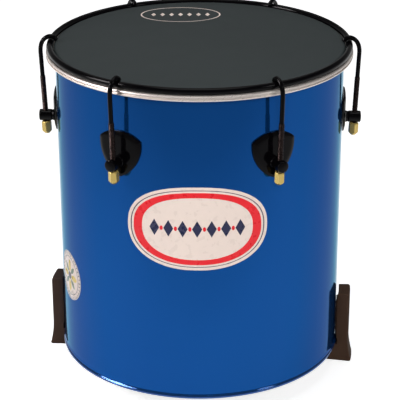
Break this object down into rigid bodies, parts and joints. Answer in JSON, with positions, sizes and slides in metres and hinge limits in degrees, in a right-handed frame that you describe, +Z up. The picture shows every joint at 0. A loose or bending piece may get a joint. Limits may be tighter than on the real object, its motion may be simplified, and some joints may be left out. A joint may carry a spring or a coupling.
{
  "type": "single-headed hand drum",
  "caption": "Cylindrical metal hand drum, open at the bottom, with one head under a round hoop held by hook rods and hexagon nuts, on two rubber feet.",
  "frame": {"origin": "on the drum's axis, at the height of the soles of the rubber feet", "axes": "+Z up along the drum's axis towards the head, -Y towards the front"},
  "size_m": [0.312, 0.2916, 0.3346],
  "materials": {
    "shell_lacquer": "gloss blue lacquer over aluminium sheet",
    "head_skin": "matt charcoal synthetic skin",
    "hoop_aluminium": "satin",
    "black_steel": "gloss black",
    "nut_brass": "polished",
    "zinc_steel": "zinc plated",
    "foot_rubber": "matt dark brown"
  },
  "bodies": {
    "drum": {"shell": "shell_lacquer", "head_membrane": "head_skin", "flesh_hoop": "hoop_aluminium", "counter_hoop": "black_steel", "lug_plate_1": "black_steel", "lug_post_1": "black_steel", "lug_washer_1": "zinc_steel", "lug_screw_1": "zinc_steel", "lug_plate_2": "black_steel", "lug_post_2": "black_steel", "lug_washer_2": "zinc_steel", "lug_screw_2": "zinc_steel", "lug_plate_3": "black_steel", "lug_post_3": "black_steel", "lug_washer_3": "zinc_steel", "lug_screw_3": "zinc_steel", "lug_plate_4": "black_steel", "lug_post_4": "black_steel", "lug_washer_4": "zinc_steel", "lug_screw_4": "zinc_steel", "lug_plate_5": "black_steel", "lug_post_5": "black_steel", "lug_washer_5": "zinc_steel", "lug_screw_5": "zinc_steel", "lug_plate_6": "black_steel", "lug_post_6": "black_steel", "lug_washer_6": "zinc_steel", "lug_screw_6": "zinc_steel", "foot_right": "foot_rubber", "foot_washer_right_1": "zinc_steel", "foot_screw_right_1": "zinc_steel", "foot_washer_right_2": "zinc_steel", "foot_screw_right_2": "zinc_steel", "foot_left": "foot_rubber", "foot_washer_left_1": "zinc_steel", "foot_screw_left_1": "zinc_steel", "foot_washer_left_2": "zinc_steel", "foot_screw_left_2": "zinc_steel"},
    "rod_1": {"tension_rod_1": "black_steel"},
    "nut_1": {"tension_nut_1": "nut_brass"},
    "rod_2": {"tension_rod_2": "black_steel"},
    "nut_2": {"tension_nut_2": "nut_brass"},
    "rod_3": {"tension_rod_3": "black_steel"},
    "nut_3": {"tension_nut_3": "nut_brass"},
    "rod_4": {"tension_rod_4": "black_steel"},
    "nut_4": {"tension_nut_4": "nut_brass"},
    "rod_5": {"tension_rod_5": "black_steel"},
    "nut_5": {"tension_nut_5": "nut_brass"},
    "rod_6": {"tension_rod_6": "black_steel"},
    "nut_6": {"tension_nut_6": "nut_brass"}
  },
  "joints": [
    {"name": "nut_turn_1", "type": "hinge", "parent": "drum", "child": "nut_1", "pos_m": [0.07147, -0.13081, 0.2473], "axis": [-0.0196, 0.036, -0.9992], "range_deg": [0, 2881]},
    {"name": "rod_slide_1", "type": "slide", "parent": "drum", "child": "rod_1", "axis": [0.0196, -0.036, 0.9992], "range_m": [0, 0.008]},
    {"name": "nut_turn_2", "type": "hinge", "parent": "drum", "child": "nut_2", "pos_m": [0.14902, -0.00351, 0.2473], "axis": [-0.041, 0.001, -0.9992], "range_deg": [0, 2881]},
    {"name": "rod_slide_2", "type": "slide", "parent": "drum", "child": "rod_2", "axis": [0.041, -0.001, 0.9992], "range_m": [0, 0.008]},
    {"name": "nut_turn_3", "type": "hinge", "parent": "drum", "child": "nut_3", "pos_m": [0.07755, 0.1273, 0.2473], "axis": [-0.0213, -0.035, -0.9992], "range_deg": [0, 2881]},
    {"name": "rod_slide_3", "type": "slide", "parent": "drum", "child": "rod_3", "axis": [0.0213, 0.035, 0.9992], "range_m": [0, 0.008]},
    {"name": "nut_turn_4", "type": "hinge", "parent": "drum", "child": "nut_4", "pos_m": [-0.07147, 0.13081, 0.2473], "axis": [0.0196, -0.036, -0.9992], "range_deg": [0, 2881]},
    {"name": "rod_slide_4", "type": "slide", "parent": "drum", "child": "rod_4", "axis": [-0.0196, 0.036, 0.9992], "range_m": [0, 0.008]},
    {"name": "nut_turn_5", "type": "hinge", "parent": "drum", "child": "nut_5", "pos_m": [-0.14902, 0.00351, 0.2473], "axis": [0.041, -0.001, -0.9992], "range_deg": [0, 2881]},
    {"name": "rod_slide_5", "type": "slide", "parent": "drum", "child": "rod_5", "axis": [-0.041, 0.001, 0.9992], "range_m": [0, 0.008]},
    {"name": "nut_turn_6", "type": "hinge", "parent": "drum", "child": "nut_6", "pos_m": [-0.07755, -0.1273, 0.2473], "axis": [0.0213, 0.035, -0.9992], "range_deg": [0, 2881]},
    {"name": "rod_slide_6", "type": "slide", "parent": "drum", "child": "rod_6", "axis": [-0.0213, -0.035, 0.9992], "range_m": [0, 0.008]}
  ],
  "couplings": [
    {"joint": "nut_turn_1", "follows": "rod_slide_1", "rad_per_m": 6283.2},
    {"joint": "nut_turn_2", "follows": "rod_slide_2", "rad_per_m": 6283.2},
    {"joint": "nut_turn_3", "follows": "rod_slide_3", "rad_per_m": 6283.2},
    {"joint": "nut_turn_4", "follows": "rod_slide_4", "rad_per_m": 6283.2},
    {"joint": "nut_turn_5", "follows": "rod_slide_5", "rad_per_m": 6283.2},
    {"joint": "nut_turn_6", "follows": "rod_slide_6", "rad_per_m": 6283.2}
  ]
}
